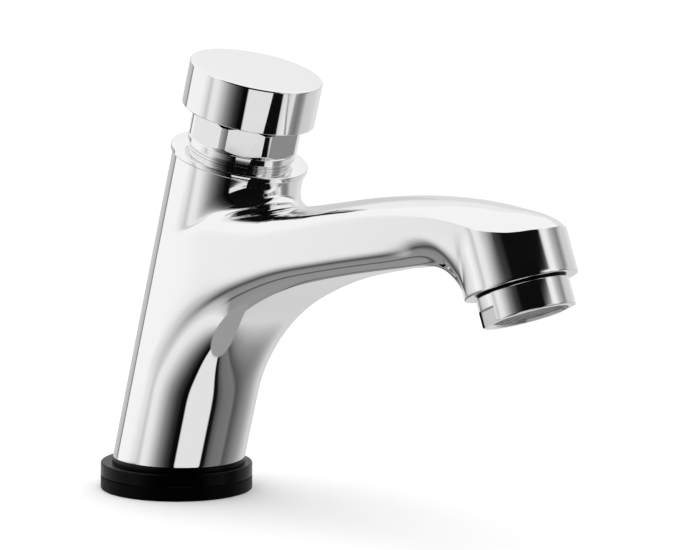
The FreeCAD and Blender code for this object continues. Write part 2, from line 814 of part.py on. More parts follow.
makers = {
    "body": make_body,
    "bonnet": make_bonnet,
    "bonnet_washer": make_bonnet_washer,
    "bonnet_oring": make_bonnet_oring,
    "guide_bush": make_guide_bush,
    "stem_oring": make_stem_oring,
    "gland_clip": make_gland_clip,
    "push_button": make_push_button,
    "stem": make_stem,
    "lock_nut": make_lock_nut,
    "piston_clip": make_piston_clip,
    "piston": make_piston,
    "piston_seal": make_piston_seal,
    "poppet": make_poppet,
    "valve_washer": make_valve_washer,
    "tail_nut": make_tail_nut,
    "cartridge_sleeve": make_cartridge_sleeve,
    "sleeve_seal": make_sleeve_seal,
    "valve_seat": make_valve_seat,
    "return_spring": make_return_spring,
    "aerator_housing": make_aerator_housing,
    "aerator_insert": make_aerator_insert,
    "aerator_screen": make_aerator_screen,
    "aerator_washer": make_aerator_washer,
    "gasket": make_gasket,
    "base_ring": make_base_ring,
    "shank": make_shank,
    "rubber_washer": make_rubber_washer,
    "steel_washer": make_steel_washer,
    "backnut": make_backnut,
    "inlet_strainer": make_inlet_strainer,
}

os.makedirs("parts", exist_ok=True)
for node, make in makers.items():
    shape = make()
    solids = shape.Solids
    print(node, len(solids), shape.isValid(), round(shape.Volume, 1))
    whole = solids[0] if len(solids) == 1 else Part.makeCompound(solids)
    whole.exportStep("parts/" + node + ".step")
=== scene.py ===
import json
import logging
from dataclasses import dataclass
from enum import Enum
from math import asin, atan2, cos, degrees, pi, radians, sin, sqrt, tan
from typing import Dict, List, Sequence, Tuple

import bpy
from mathutils import Matrix, Vector


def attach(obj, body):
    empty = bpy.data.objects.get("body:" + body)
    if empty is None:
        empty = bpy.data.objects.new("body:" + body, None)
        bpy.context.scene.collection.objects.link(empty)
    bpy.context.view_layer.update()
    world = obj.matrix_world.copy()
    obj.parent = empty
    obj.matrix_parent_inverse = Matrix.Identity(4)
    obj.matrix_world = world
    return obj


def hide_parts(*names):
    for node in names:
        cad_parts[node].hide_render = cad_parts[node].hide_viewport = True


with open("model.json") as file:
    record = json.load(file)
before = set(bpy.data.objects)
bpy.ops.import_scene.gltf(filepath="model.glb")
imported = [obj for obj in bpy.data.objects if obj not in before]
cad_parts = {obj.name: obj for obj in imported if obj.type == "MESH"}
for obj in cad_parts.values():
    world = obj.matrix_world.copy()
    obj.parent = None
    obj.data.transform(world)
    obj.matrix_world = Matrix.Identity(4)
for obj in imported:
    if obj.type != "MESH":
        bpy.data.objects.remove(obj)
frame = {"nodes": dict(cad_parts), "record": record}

Material = bpy.types.Material
Piece = bpy.types.Object
Socket = bpy.types.NodeSocket
Pairs = Sequence[Tuple[float, float]]
Corners = Sequence[Tuple[float, float, float]]
Row = List[Vector]
Points = List[Tuple[float, float]]

log = logging.getLogger("tap")
MM = 0.001  # every length is written in millimetres, and Blender works in metres
Y_AXIS = Vector((0.0, 1.0, 0.0))


class Zone(Enum):
    """The part of the studio that a reflection looks at."""

    LOW = "low"
    HIGH = "high"
    TOP = "top"
    DEEP = "deep"
    HEAD = "head"


def mix(first: float, last: float, share: float) -> float:
    """A value between two others: the first at share 0, the last at share 1."""
    return first + (last - first) * share


# ---- node helpers


def srgb(code: str) -> Tuple[float, float, float, float]:
    """Turns an sRGB hex code into linear colour.

    Args:
        code: six hex digits, such as "c8ccd0".

    Returns:
        Linear red, green, blue and an alpha of 1.
    """
    values = [int(code[i : i + 2], 16) / 255 for i in (0, 2, 4)]
    linear = [v / 12.92 if v <= 0.04045 else ((v + 0.055) / 1.055) ** 2.4 for v in values]
    return (*linear, 1.0)


def add_node(tree: bpy.types.NodeTree, kind: str, links: Dict = None, **settings) -> bpy.types.Node:
    """Adds a shader node.

    Args:
        tree: the node tree.
        kind: the node's type name.
        links: input name or number to an output socket or a constant.
        settings: properties of the node itself.

    Returns:
        The new node.
    """
    node = tree.nodes.new(kind)
    for key, value in settings.items():
        setattr(node, key, value)
    for key, value in (links or {}).items():
        if isinstance(value, Socket):
            tree.links.new(value, node.inputs[key])
        else:
            node.inputs[key].default_value = value
    return node


@dataclass(frozen=True)
class Graph:
    """Steps from socket to socket in one node tree.

    Attributes:
        tree: the node tree.
    """

    tree: bpy.types.NodeTree

    def spread(self, value: Socket, start: float, end: float, kind: str = "SMOOTHSTEP") -> Socket:
        """Where a value is between two limits, from 0 to 1."""
        links = {"Value": value, "From Min": start, "From Max": end}
        return add_node(self.tree, "ShaderNodeMapRange", links, interpolation_type=kind).outputs["Result"]

    def mixed(self, share: Socket, first: Socket, last: Socket) -> Socket:
        """A colour between two others: the first at share 0, the last at share 1."""
        links = {0: share, 6: first, 7: last}
        return add_node(self.tree, "ShaderNodeMix", links, data_type="RGBA").outputs[2]

    def math(self, operation: str, *values: Socket) -> Socket:
        """One step of arithmetic."""
        links = dict(enumerate(values))
        return add_node(self.tree, "ShaderNodeMath", links, operation=operation).outputs["Value"]

    def ramp(self, place: Socket, stops: Pairs) -> Socket:
        """Grey levels along a line.

        Args:
            place: where on the line, from 0 to 1.
            stops: positions on the line, each with its grey level.

        Returns:
            The grey.
        """
        node = add_node(self.tree, "ShaderNodeValToRGB", {"Fac": place})
        ramp = node.color_ramp
        while len(ramp.elements) > 1:
            ramp.elements.remove(ramp.elements[-1])
        for n, (position, level) in enumerate(stops):
            stop = ramp.elements[0] if n == 0 else ramp.elements.new(position)
            stop.position = position
            stop.color = (level, level, level, 1.0)
        return node.outputs["Color"]


# ---- finishes


@dataclass(frozen=True)
class Finish:
    """A procedural finish: its colour, its gloss, and the fine unevenness that its making leaves.

    Attributes:
        name: the real material and how it was made, or, for the near-black gap finish, that it is painted
            shade.
        colour: sRGB hex of the clean surface.
        metallic: 1 for metal.
        roughness: mean roughness.
        wander: how far the roughness wanders.
        grain: size of the unevenness.
        relief: height of the unevenness.
        specular: strength of a non-metal's mirror reflection.
    """

    name: str
    colour: str
    metallic: float
    roughness: float
    wander: float
    grain: float
    relief: float
    specular: float = 0.5

    def build(self) -> Material:
        """Builds the material.

        Returns:
            The material, ready to assign.
        """
        material = bpy.data.materials.new(self.name)
        material.use_nodes = True
        tree = material.node_tree
        shader = tree.nodes["Principled BSDF"]
        shader.inputs["Base Color"].default_value = srgb(self.colour)
        shader.inputs["Metallic"].default_value = self.metallic
        shader.inputs["Specular IOR Level"].default_value = self.specular
        place = add_node(tree, "ShaderNodeTexCoord").outputs["Object"]
        links = {"Vector": place, "Scale": 1 / (self.grain * MM), "Detail": 3.0}
        noise = add_node(tree, "ShaderNodeTexNoise", links).outputs["Fac"]
        rough, wander = self.roughness, self.wander
        links = {"Value": noise, "From Min": 0.3, "From Max": 0.7}
        links.update({"To Min": rough - wander, "To Max": rough + wander})
        gloss = add_node(tree, "ShaderNodeMapRange", links)
        tree.links.new(gloss.outputs["Result"], shader.inputs["Roughness"])
        if self.relief > 0:
            links = {"Height": noise, "Distance": self.relief * MM, "Strength": 1.0}
            bump = add_node(tree, "ShaderNodeBump", links)
            tree.links.new(bump.outputs["Normal"], shader.inputs["Normal"])
        return material


CHROME = Finish("chrome_plate_on_cast_brass", "f3f3f3", 1.0, 0.03, 0.008, 14.0, 0.003)
CHROME_TURNED = Finish("chrome_plate_on_turned_brass", "f1f1f1", 1.0, 0.035, 0.01, 4.0, 0.0006)
CHROME_SATIN = Finish("chrome_plate_on_lapped_cap", "f2f2f2", 1.0, 0.16, 0.03, 1.2, 0.0006)
BRASS = Finish("brass_turned_bar", "b9935a", 1.0, 0.28, 0.06, 1.0, 0.002)
# Painted shade, not a real finish: near-black, for the gaps inside the press cap and at the outlet ring's
# shoulder.
PAINTED_SHADE = Finish("painted_shade_near_black", "1c1812", 1.0, 0.45, 0.06, 1.0, 0.002)
STEEL = Finish("stainless_steel_drawn", "a9a8a5", 1.0, 0.24, 0.05, 0.8, 0.001)
RUBBER = Finish("rubber_moulded_black", "010101", 0.0, 0.42, 0.08, 0.7, 0.01, 0.05)
BLACK_PLASTIC = Finish("plastic_moulded_black", "010102", 0.0, 0.24, 0.05, 0.5, 0.004, 0.08)
WHITE_PLASTIC = Finish("acetal_turned_white", "e1e1da", 0.0, 0.38, 0.05, 1.0, 0.003)
GREY_PLASTIC = Finish("plastic_moulded_grey", "84878a", 0.0, 0.4, 0.05, 0.8, 0.004)
DECK_WHITE = Finish("deck_white_satin", "fbfbfb", 0.0, 0.9, 0.02, 30.0, 0.0)


# ---- the tap's two slanted axes


@dataclass(frozen=True)
class Slant:
    """An axis in the middle plane: it starts at x, z and leans forward from upright by some degrees.

    The radius is that of the round wall about it.
    """

    x: float
    z: float
    lean: float
    radius: float

    @property
    def up(self) -> Vector:
        """The direction up the axis."""
        t = radians(self.lean)
        return Vector((sin(t), 0, cos(t)))

    @property
    def forward(self) -> Vector:
        """The direction square to the axis, towards the front of the tap."""
        t = radians(self.lean)
        return Vector((cos(t), 0, -sin(t)))

    def axis(self, height: float) -> Vector:
        """The point of the axis at a distance from its start."""
        t = radians(self.lean)
        return Vector((self.x + height * sin(t), 0, self.z + height * cos(t)))

    def at(self, height: float, angle: float, radius: float) -> Vector:
        """A point round the axis. The angle is in degrees from the front, negative on the right."""
        a = radians(angle)
        return self.axis(height) + (self.forward * cos(a) + Y_AXIS * sin(a)) * radius

    def local(self, point: Vector) -> Tuple[float, float]:
        """A point's height on the axis, and how far it is in front of the axis."""
        arm = point - self.axis(0)
        return arm.dot(self.up), arm.dot(self.forward)

    def matrix(self) -> Matrix:
        """The transform from an upright piece, in metres, to this axis."""
        place = Matrix.Translation((self.x * MM, 0, self.z * MM))
        return place @ Matrix.Rotation(radians(self.lean), 4, "Y")


COLUMN = Slant(-1.8, 0.0, 16.0, 20.0)
OUTLET = Slant(144.2, 77.55, -22.0, 16.1)


# ---- modelling helpers


def select(*objects: Piece) -> None:
    """Selects these objects only, and makes the first one active.

    Args:
        objects: what to select. With none, all are deselected.
    """
    bpy.ops.object.select_all(action="DESELECT")
    for ob in objects:
        ob.select_set(True)
    if objects:
        bpy.context.view_layer.objects.active = objects[0]


def join(*objects: Piece) -> Piece:
    """Joins objects into the first.

    Args:
        objects: the objects.

    Returns:
        The first object.
    """
    select(*objects)
    bpy.ops.object.join()
    return objects[0]


def merge_doubles(ob: Piece, distance: float = 0.004) -> None:
    """Merges vertices that meet and recalculates the normals.

    Args:
        ob: the object.
        distance: how close two vertices are merged.
    """
    select(ob)
    bpy.ops.object.mode_set(mode="EDIT")
    bpy.ops.mesh.select_all(action="SELECT")
    bpy.ops.mesh.remove_doubles(threshold=distance * MM)
    bpy.ops.mesh.normals_make_consistent(inside=False)
    bpy.ops.mesh.select_all(action="DESELECT")
    bpy.ops.object.mode_set(mode="OBJECT")


def apply_modifier(ob: Piece, kind: str, **settings) -> None:
    """Adds a modifier and applies it.

    Args:
        ob: the object.
        kind: the modifier's type.
        settings: its properties.
    """
    select(ob)
    modifier = ob.modifiers.new(kind.lower(), kind)
    for key, value in settings.items():
        setattr(modifier, key, value)
    bpy.ops.object.modifier_apply(modifier=modifier.name)


def smooth(ob: Piece, angle: float = 32.0, weighted: bool = True) -> None:
    """Shades smooth, with sharp edges above an angle.

    Args:
        ob: the object.
        angle: degrees.
        weighted: whether large faces set the normals, so that flats and cylinders reflect straight lines.
    """
    select(ob)
    bpy.ops.object.shade_smooth_by_angle(angle=radians(angle))
    if weighted:
        apply_modifier(ob, "WEIGHTED_NORMAL", weight=50, keep_sharp=True)


def rounded(corners: Corners, steps: int = 4) -> Points:
    """Rounds the corners of a profile.

    Args:
        corners: radius and height of each corner, and the radius that rounds it.
        steps: segments in each rounded corner.

    Returns:
        Radius and height of the profile's points.
    """
    result: Points = []
    for n, (r, z, corner) in enumerate(corners):
        if corner <= 0 or n in (0, len(corners) - 1):
            result.append((r, z))
            continue
        here = Vector((r, z))
        to_last = (Vector(corners[n - 1][:2]) - here).normalized()
        to_next = (Vector(corners[n + 1][:2]) - here).normalized()
        half = to_last.angle(to_next) / 2
        reach = corner / tan(half)
        centre = here + (to_last + to_next).normalized() * (corner / sin(half))
        start, end = here + to_last * reach - centre, here + to_next * reach - centre
        turn = start.angle_signed(end)
        for k in range(steps + 1):
            arm = start.copy()
            arm.rotate(Matrix.Rotation(-turn * k / steps, 2))
            result.append(tuple(centre + arm))
    return result


def turned(name: str, corners: Corners, matrix: Matrix = Matrix(), segments: int = 128) -> Piece:
    """Turns a profile: a circle primitive is extruded and scaled from point to point.

    Args:
        name: the object's name.
        corners: the profile's corners, as for rounded(). It is closed if the last is the first again.
        matrix: where the upright piece goes.
        segments: sides of the circle.

    Returns:
        The object.
    """
    select()
    profile = rounded(corners)
    radius, height = profile[0]
    bpy.ops.mesh.primitive_circle_add(
        vertices=segments, radius=radius * MM, fill_type="NOTHING", location=(0, 0, 0)
    )
    ob = bpy.context.object
    ob.name = name
    bpy.ops.object.mode_set(mode="EDIT")
    bpy.ops.mesh.select_all(action="SELECT")
    bpy.ops.transform.translate(value=(0, 0, height * MM))
    for next_radius, next_height in profile[1:]:
        rise = (next_height - height) * MM
        bpy.ops.mesh.extrude_region_move(TRANSFORM_OT_translate={"value": (0, 0, rise)})
        if next_radius < 1e-6:
            bpy.ops.mesh.merge(type="CENTER")
            break
        scale = next_radius / radius
        bpy.ops.transform.resize(value=(scale, scale, 1), center_override=(0, 0, next_height * MM))
        radius, height = next_radius, next_height
    bpy.ops.object.mode_set(mode="OBJECT")
    merge_doubles(ob)
    ob.data.transform(matrix)
    return ob


def boolean(ob: Piece, tool: Piece, operation: str) -> None:
    """Applies a boolean and removes its tool."""
    apply_modifier(ob, "BOOLEAN", object=tool, operation=operation, solver="EXACT")
    bpy.data.objects.remove(tool)


def bevel(ob: Piece, width: float, angle: float) -> None:
    """Rounds the edges that are sharper than an angle, in degrees."""
    sharp = {"limit_method": "ANGLE", "angle_limit": radians(angle)}
    apply_modifier(ob, "BEVEL", width=width * MM, segments=2, **sharp)


def paint_inside(ob: Piece, finish: Material, axis: Slant, radius: float, low: float) -> None:
    """Gives a finish to a piece's faces that are within a radius of an axis and above a height on it.

    Args:
        ob: the piece.
        finish: the material.
        axis: the axis.
        radius: the radius.
        low: the height.
    """
    ob.data.materials.append(finish)
    for polygon in ob.data.polygons:
        centre = polygon.center / MM
        height = axis.local(centre)[0]
        if height > low and (centre - axis.axis(height)).length < radius:
            polygon.material_index = len(ob.data.materials) - 1


def sheet(name: str, rows: Sequence[Sequence[Vector]]) -> Piece:
    """A sheet of the casting's cage: a grid primitive whose vertices are put in place row by row.

    Args:
        name: the object's name.
        rows: the rows of points.

    Returns:
        The object.
    """
    select()
    bpy.ops.mesh.primitive_grid_add(x_subdivisions=len(rows[0]) - 1, y_subdivisions=len(rows) - 1, size=MM)
    ob = bpy.context.object
    ob.name = name
    points = [point for row in rows for point in row]
    assert len(points) == len(ob.data.vertices), name
    for vertex, point in zip(ob.data.vertices, points):
        vertex.co = point * MM
    return ob


def finish_piece(ob: Piece, finish: Material, body: str, nodes: Sequence[str] = ()) -> Piece:
    """Gives a finished piece its material, its body and the nodes that it stands for.

    Args:
        ob: the piece.
        finish: its material.
        body: the body that it moves with.
        nodes: CAD nodes that it replaces.

    Returns:
        The piece.
    """
    ob.data.materials.clear()
    ob.data.materials.append(finish)
    ob.data.name = ob.name
    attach(ob, body)
    if nodes:
        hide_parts(*nodes)
    log.info("%s: %d faces", ob.name, len(ob.data.polygons))
    return ob


# ---- the casting


@dataclass(frozen=True)
class Arch:
    """The line under the spout: arcs of a radius and an end slope, from a height on the column."""

    start: float = 41.5
    arcs: Pairs = ((49.0, 28.0), (101.0, 14.0), (357.0, 3.0))

    def point(self, slope: float) -> Vector:
        """The point of the line with this slope.

        Args:
            slope: degrees above the horizontal.

        Returns:
            The point.
        """
        here = COLUMN.at(self.start, 0, COLUMN.radius)
        steep = 90 - COLUMN.lean
        for radius, end in self.arcs:
            low = max(slope, end)
            a, b = radians(steep), radians(low)
            here = here + Vector((sin(a) - sin(b), 0, cos(b) - cos(a))) * radius
            steep = low
            if slope >= end:
                break
        return here

    @staticmethod
    def up(slope: float) -> Vector:
        """The direction square to the line, into the metal."""
        return Vector((-sin(radians(slope)), 0, cos(radians(slope))))


@dataclass(frozen=True)
class TopLine:
    """The crowned top of the spout. Its long edges go from soft at the column to crisp at the nose.

    Each section is a distance along the spout, the height of the middle line and the crown's radius.
    """

    sections: Corners = (
        (14.2, 91.8, 60.0), (32.2, 91.3, 58.0), (50.2, 91.4, 56.0), (62.2, 92.9, 54.0),
        (74.2, 95.0, 50.0), (90.2, 97.8, 47.0), (107.2, 99.6, 44.0), (124.2, 99.9, 43.0),
        (138.2, 99.0, 33.0), (147.2, 98.1, 23.0), (153.2, 96.1, 15.0), (160.2, 89.0, 13.0),
    )
    soft_r: float = 7.0
    crisp_r: float = 0.8
    soft_x: float = 24.7
    crisp_x: float = 134.0

    def _along(self, x: float, column: int) -> float:
        """A smooth curve through one column of the sections.

        Args:
            x: distance along the spout.
            column: which column.

        Returns:
            The value at x.
        """
        n, last = 0, len(self.sections) - 1
        while n < last - 1 and x > self.sections[n + 1][0]:
            n += 1
        near = [self.sections[min(max(k, 0), last)] for k in range(n - 1, n + 3)]
        first, second = ((b[column] - a[column]) / (b[0] - a[0]) for a, b in zip(near, near[2:]))
        step = near[2][0] - near[1][0]
        t = (x - near[1][0]) / step
        value = (2 * t**3 - 3 * t**2 + 1) * near[1][column] + (3 * t**2 - 2 * t**3) * near[2][column]
        return value + ((t**3 - 2 * t**2 + t) * first + (t**3 - t**2) * second) * step

    def edge_r(self, x: float) -> float:
        """Radius of the long edges at a distance along the spout."""
        share = min(max((x - self.soft_x) / (self.crisp_x - self.soft_x), 0), 1)
        return mix(self.soft_r, self.crisp_r, share)

    def height(self, x: float, y: float) -> float:
        """Height of the crown at a point of the plan, without the rounded edges."""
        r = self._along(x, 2)
        return self._along(x, 1) - r + sqrt(max(r * r - y * y, 0.01))

    def profile(self, x: float, half: float) -> Points:
        """Half a section of the top: the rounded edge in three steps, then the crown in five.

        Args:
            x: distance along the spout.
            half: half the spout's width there.

        Returns:
            Distance from the middle and height of each point, from the wall to the middle.
        """
        crown, edge = self._along(x, 2), self.edge_r(x)
        centre_y = half - edge
        centre_z = self._along(x, 1) - crown + sqrt((crown - edge) ** 2 - centre_y**2)
        turn = asin(centre_y / (crown - edge))
        angles = [pi / 2 + (turn - pi / 2) * j / 3 for j in range(4)]
        result = [(centre_y + edge * sin(a), centre_z + edge * cos(a)) for a in angles]
        tangent = crown * sin(turn)
        return result + [(tangent * k / 5, self.height(x, tangent * k / 5)) for k in (4, 3, 2, 1, 0)]

    def offset(self, x: float, y: float, half: float, gap: float) -> Tuple[float, float]:
        """The surface that runs at a distance above the top, its rounded edges included.

        Args:
            x: distance along the spout.
            y: distance from its middle.
            half: half the spout's width there.
            gap: the distance.

        Returns:
            Height of that surface, and the lean of the top's normal there in radians.
        """
        crown, edge = self._along(x, 2), self.edge_r(x)
        tangent_y = half - edge
        turn = asin(tangent_y / (crown - edge))
        if abs(y) <= (crown + gap) * sin(turn):
            lean = asin(abs(y) / (crown + gap))
            return self._along(x, 1) - crown + (crown + gap) * cos(lean), lean
        lean = asin(min((abs(y) - tangent_y) / (edge + gap), 1))
        centre_z = self._along(x, 1) - crown + (crown - edge) * cos(turn)
        return centre_z + (edge + gap) * cos(lean), lean


@dataclass
class Casting:
    """The casting: column, spout, nose and collar, as one smooth cage that is subdivided.

    Only the right half is laid out, and mirrored. The wall is one strip: half the column's back, the
    spout's side and the nose's front. The underside joins its lower edge, and the top its upper edge.
    Angles are in degrees. The cage's radii are a little over the real ones, since subdivision pulls in.
    """

    arch: Arch = Arch()
    top: TopLine = TopLine()
    column_scale: float = 1.0064
    nose_scale: float = 1.004
    levels: int = 3
    ring_steps: int = 8
    front_steps: int = 5
    # the column
    foot: float = 9.6
    under_collar: float = 107.95
    collar: Corners = (
        (19.2, 107.4, 0), (19.7, 107.95, 0.05), (20.8, 108.1, 0.3), (20.8, 109.8, 0.4),
        (15.9, 109.8, 0), (14.2, 109.8, 0.2), (14.1, 103.8, 0),
    )
    # the underside: the slopes of its rows, and how far the last ones take the shape of the nose's back
    slopes: Tuple[float, ...] = (74, 66, 58.5, 51, 43.5, 36, 29, 23, 18, 14, 11.8, 10.2, 8.8, 7.8)
    flat_slope: float = 6.5
    early: Tuple[float, ...] = (0.01, 0.03, 0.07, 0.14, 0.24)
    edge_r: float = 4.0
    edge_power: float = 1.3
    root_r: float = 9.0
    root_rows: Pairs = ((0.3, 0.42), (0.65, 0.74), (1.0, 1.0))
    nose_back: float = 62.0
    # the wall
    taper_x: Tuple[float, float] = (29.1, 138.0)
    crisp_gap: float = 1.25
    soft_gap: float = 4.0
    # the top: the fillet at the column, and the edge round the nose
    saddle_r: float = 5.0
    saddle_side: float = 86.0
    saddle_angles: Tuple[float, ...] = (-90, -74, -61.5, -50, -39.5, -29.5, -19.5, -9.7, 0)
    edge_angles: Tuple[float, ...] = (84.0, 78.0, 72.0, 66.0, 62.5, 60.0)
    nose_bow: float = 1.05
    # how far the rows of the top bow forward: at the nose, how much more at the column, and for how long
    bow_end: float = 6.6
    bow_more: float = 15.9
    bow_run: float = 0.55

    def __post_init__(self) -> None:
        """Finds the fillet between the arch and the nose, and lays out the rows."""
        self.r = COLUMN.radius * self.column_scale
        self.nose_r = OUTLET.radius * self.nose_scale
        self.nose_front = self.edge_angles[-1]
        self._find_root()
        self._lay_bottom()
        self._lay_top()

    def _find_root(self) -> None:
        """Finds where a fillet of the root's radius touches the arch and the back of the nose."""
        low, high = 3.0, 14.0
        for _ in range(40):
            slope = (low + high) / 2
            centre = self.arch.point(slope) - self.arch.up(slope) * self.root_r
            if OUTLET.local(centre)[1] < -(OUTLET.radius + self.root_r):
                high = slope
            else:
                low = slope
        self.root_slope, self.root_centre = slope, centre

    def half_width(self, x: float) -> float:
        """Half the spout's width at a distance along it."""
        start, end = self.taper_x
        return mix(self.r, self.nose_r, min(max((x - start) / (end - start), 0), 1))

    def wall(self, point: Vector) -> float:
        """How far the wall is from the middle plane at a point of the side view."""
        ahead = OUTLET.local(point)[1]
        return self.half_width(point.x) if ahead <= 0 else sqrt(max(self.nose_r**2 - ahead**2, 0))

    def _profile(self, half: float, corner: float) -> Points:
        """Half a section of the underside, from the wall to the middle, evenly spaced.

        Args:
            half: half the width.
            corner: radius of the lower edge.

        Returns:
            Distance from the middle plane and depth above the arch line.
        """
        corner = min(corner, half)
        flat, arc = half - corner, corner * pi / 2
        runs = [(arc + flat) * k / self.ring_steps for k in range(self.ring_steps + 1)]
        turns = [(run, min(run, arc) / corner) for run in runs]
        return [(flat + corner * cos(a) - max(run - arc, 0), corner - corner * sin(a)) for run, a in turns]

    def _nose_profile(self) -> Points:
        """Half the nose's back: distance from the middle plane and depth in front of the back."""
        angles = [radians(self.nose_back * (1 - k / self.ring_steps)) for k in range(self.ring_steps + 1)]
        return [(self.nose_r * sin(a), self.nose_r * (1 - cos(a))) for a in angles]

    def _lay_bottom(self) -> None:
        """Lays the rows of the underside, from the column to the rim."""
        slopes = [s for s in self.slopes if s > self.root_slope + 0.5] + [self.root_slope]
        early = (0.0,) * (len(slopes) - len(self.early)) + self.early
        round_back = self._nose_profile()
        lines = []  # each row's foot, direction into the metal, section, and how round the section is
        for slope, share in zip(slopes, early):
            turn = max(slope - self.flat_slope, 0) / (90 - COLUMN.lean - self.flat_slope)
            up = self.arch.up(slope)
            base = self.arch.point(slope) - up * (self.r - COLUMN.radius) * turn
            flat = self._profile(self.half_width(base.x), mix(self.edge_r, self.r, turn**self.edge_power))
            lines.append((base, up, flat, share))
        full = 90 + OUTLET.lean + self.root_slope
        for run, share in self.root_rows:
            up = self.arch.up(self.root_slope - full * run)
            lines.append((self.root_centre + up * self.root_r, up, flat, share))
        for height in (OUTLET.local(self.root_centre)[0] * 0.45, 1.0, 0.0):
            lines.append((OUTLET.at(height, 180, self.nose_r), OUTLET.forward, round_back, 0.0))
        self.bottom = []
        for foot, up, section, share in lines:
            pairs = zip(section, round_back)
            blend = [(mix(a[0], b[0], share), mix(a[1], b[1], share)) for a, b in pairs]
            self.bottom.append([foot + up * d - Y_AXIS * y for y, d in blend])

    def _top_point(self, x: float, j: int) -> Vector:
        """Point j of the top's section at x, counted from the wall to the middle."""
        y, z = self.top.profile(x, self.half_width(x))[j]
        return Vector((x, -y, z))

    def _nose_top(self, angle: float, radius: float) -> Vector:
        """A point of the crown over the nose.

        Args:
            angle: degrees from the front, on the right.
            radius: distance from the outlet's axis.

        Returns:
            The point.
        """
        height = 18.0
        for _ in range(14):  # each step goes most of the way to the crown
            point = OUTLET.at(height, -angle, radius)
            height += (self.top.height(point.x, point.y) - point.z) * 0.9
        return OUTLET.at(height, -angle, radius)

    def _nose_edge(self, angle: float) -> Row:
        """The rounded edge of the nose's top at one angle, from the wall to the crown.

        Args:
            angle: degrees from the front, on the right.

        Returns:
            Four points.
        """
        corner = self._nose_top(angle, self.nose_r)
        down = -OUTLET.up
        inward = (self._nose_top(angle, self.nose_r - 1.2) - corner).normalized()
        half = down.angle(inward) / 2
        edge = self.top.crisp_r
        reach = edge / tan(half)
        centre = corner + (down + inward).normalized() * (edge / sin(half))
        start = (corner + down * reach - centre).normalized()
        end = (corner + inward * reach - centre).normalized()
        return [centre + start.slerp(end, j / 3) * edge for j in range(4)]

    def _saddle(self, angle: float) -> Tuple[float, Vector, Vector]:
        """The fillet between the column and the top, as a ball that touches both.

        Args:
            angle: degrees round the column from the front.

        Returns:
            Height on the column where it starts, its middle, and where it ends on the top.
        """
        height, reach = 100.0, COLUMN.radius + self.saddle_r
        for _ in range(60):  # each step goes part of the way to where the ball touches the top
            centre = COLUMN.at(height, angle, reach)
            level, lean = self.top.offset(centre.x, centre.y, self.half_width(centre.x), self.saddle_r)
            height += (level - centre.z) * 0.6
        to_column = (COLUMN.at(height, angle, self.r) - centre).normalized()
        to_top = Vector((0, sin(lean), -cos(lean)))
        bulge = 3 / (2 + cos(to_column.angle(to_top) / 2))
        middle = centre + (to_column + to_top).normalized() * self.saddle_r * bulge
        return height, middle, centre + to_top * self.saddle_r

    def _lay_top(self) -> None:
        """Lays the edge of the wall and the rows of the top, from the column to the front of the nose."""
        straight = len(self.bottom) - 1
        runs = [0.0]
        for a, b in zip(self.bottom, self.bottom[1:]):
            runs.append(runs[-1] + (b[0] - a[0]).length)
        first, last = COLUMN.axis(self.saddle_side).x, self._nose_edge(90)[0].x
        shares = [0.5 * run / runs[-1] + 0.5 * k / straight for k, run in enumerate(runs)]
        places = [mix(first, last, share) for share in shares]
        # the saddle: its two side points are given one by one, where the fillet runs out into the wall
        low, side = self.saddle_side, self.saddle_angles[1]
        saddle = [
            (low + 3.0, COLUMN.at(low, -90, self.r), self._top_point(places[1], 0)),
            (low + 5.0, COLUMN.at(low + 2.6, side, self.r), self._top_point(places[1] + 3.4, 1)),
        ]
        saddle += [self._saddle(angle) for angle in self.saddle_angles[2:]]
        self.saddle_heights, *rows = (list(part) for part in zip(*saddle))
        # the straight part: its rows bow forward, as the saddle does and as the nose will
        count = straight + len(self.edge_angles)
        for n in range(2, straight + 1):
            spread = radians(90 - 30 * n / count)
            bow = self.bow_end + self.bow_more * max(1 - n / (self.bow_run * count), 0) ** 2
            turns = [spread * (1 - j / self.ring_steps) for j in range(self.ring_steps + 1)]
            shares = [(cos(turn) - cos(spread)) / (1 - cos(spread)) for turn in turns]
            rows.append([self._top_point(places[n] + bow * share, j) for j, share in enumerate(shares)])
        # the nose
        middle_start = rows[-1][-1].x
        middle_end = self._nose_top(0, self.nose_r - 1.7).x
        turns, ahead = self.edge_angles[:-2], cos(self.nose_bow)
        for n, angle in enumerate(turns, 1):
            row = self._nose_edge(angle)
            side = row[3]
            bow = middle_start + (middle_end - middle_start) * n / (len(turns) + 1) - side.x
            for k in (4, 3, 2, 1, 0):
                share = (cos(self.nose_bow * k / 5) - ahead) / (1 - ahead)
                x, y = side.x + bow * share, side.y * k / 5
                row.append(Vector((x, y, self.top.height(x, y))))
            rows.append(row)
        front = [self.nose_front * k / self.front_steps for k in (4, 3, 2, 1, 0)]
        edges = [self._nose_edge(angle) for angle in front]
        inner = [self._nose_top(a, self.nose_r - 0.4 - self.crisp_gap) for a in front]
        rows.append(self._nose_edge(self.edge_angles[-2]) + inner)
        rows.append(self._nose_edge(self.nose_front) + [edge[3] for edge in edges])
        self.front_edges = [rows[-1][:4]] + edges
        self.edge = [row[0] for row in rows]
        self.top_rows = rows

    def _rim_angles(self) -> List[float]:
        """Angles of the wall's lower end round the nose, from the end of its back to its front."""
        back, spare, steps = 180 - self.nose_back, len(self.edge) - len(self.bottom), self.front_steps
        side = [back + (self.nose_front - back) * k / spare for k in range(1, spare + 1)]
        return side + [self.nose_front * (1 - k / steps) for k in range(1, steps + 1)]

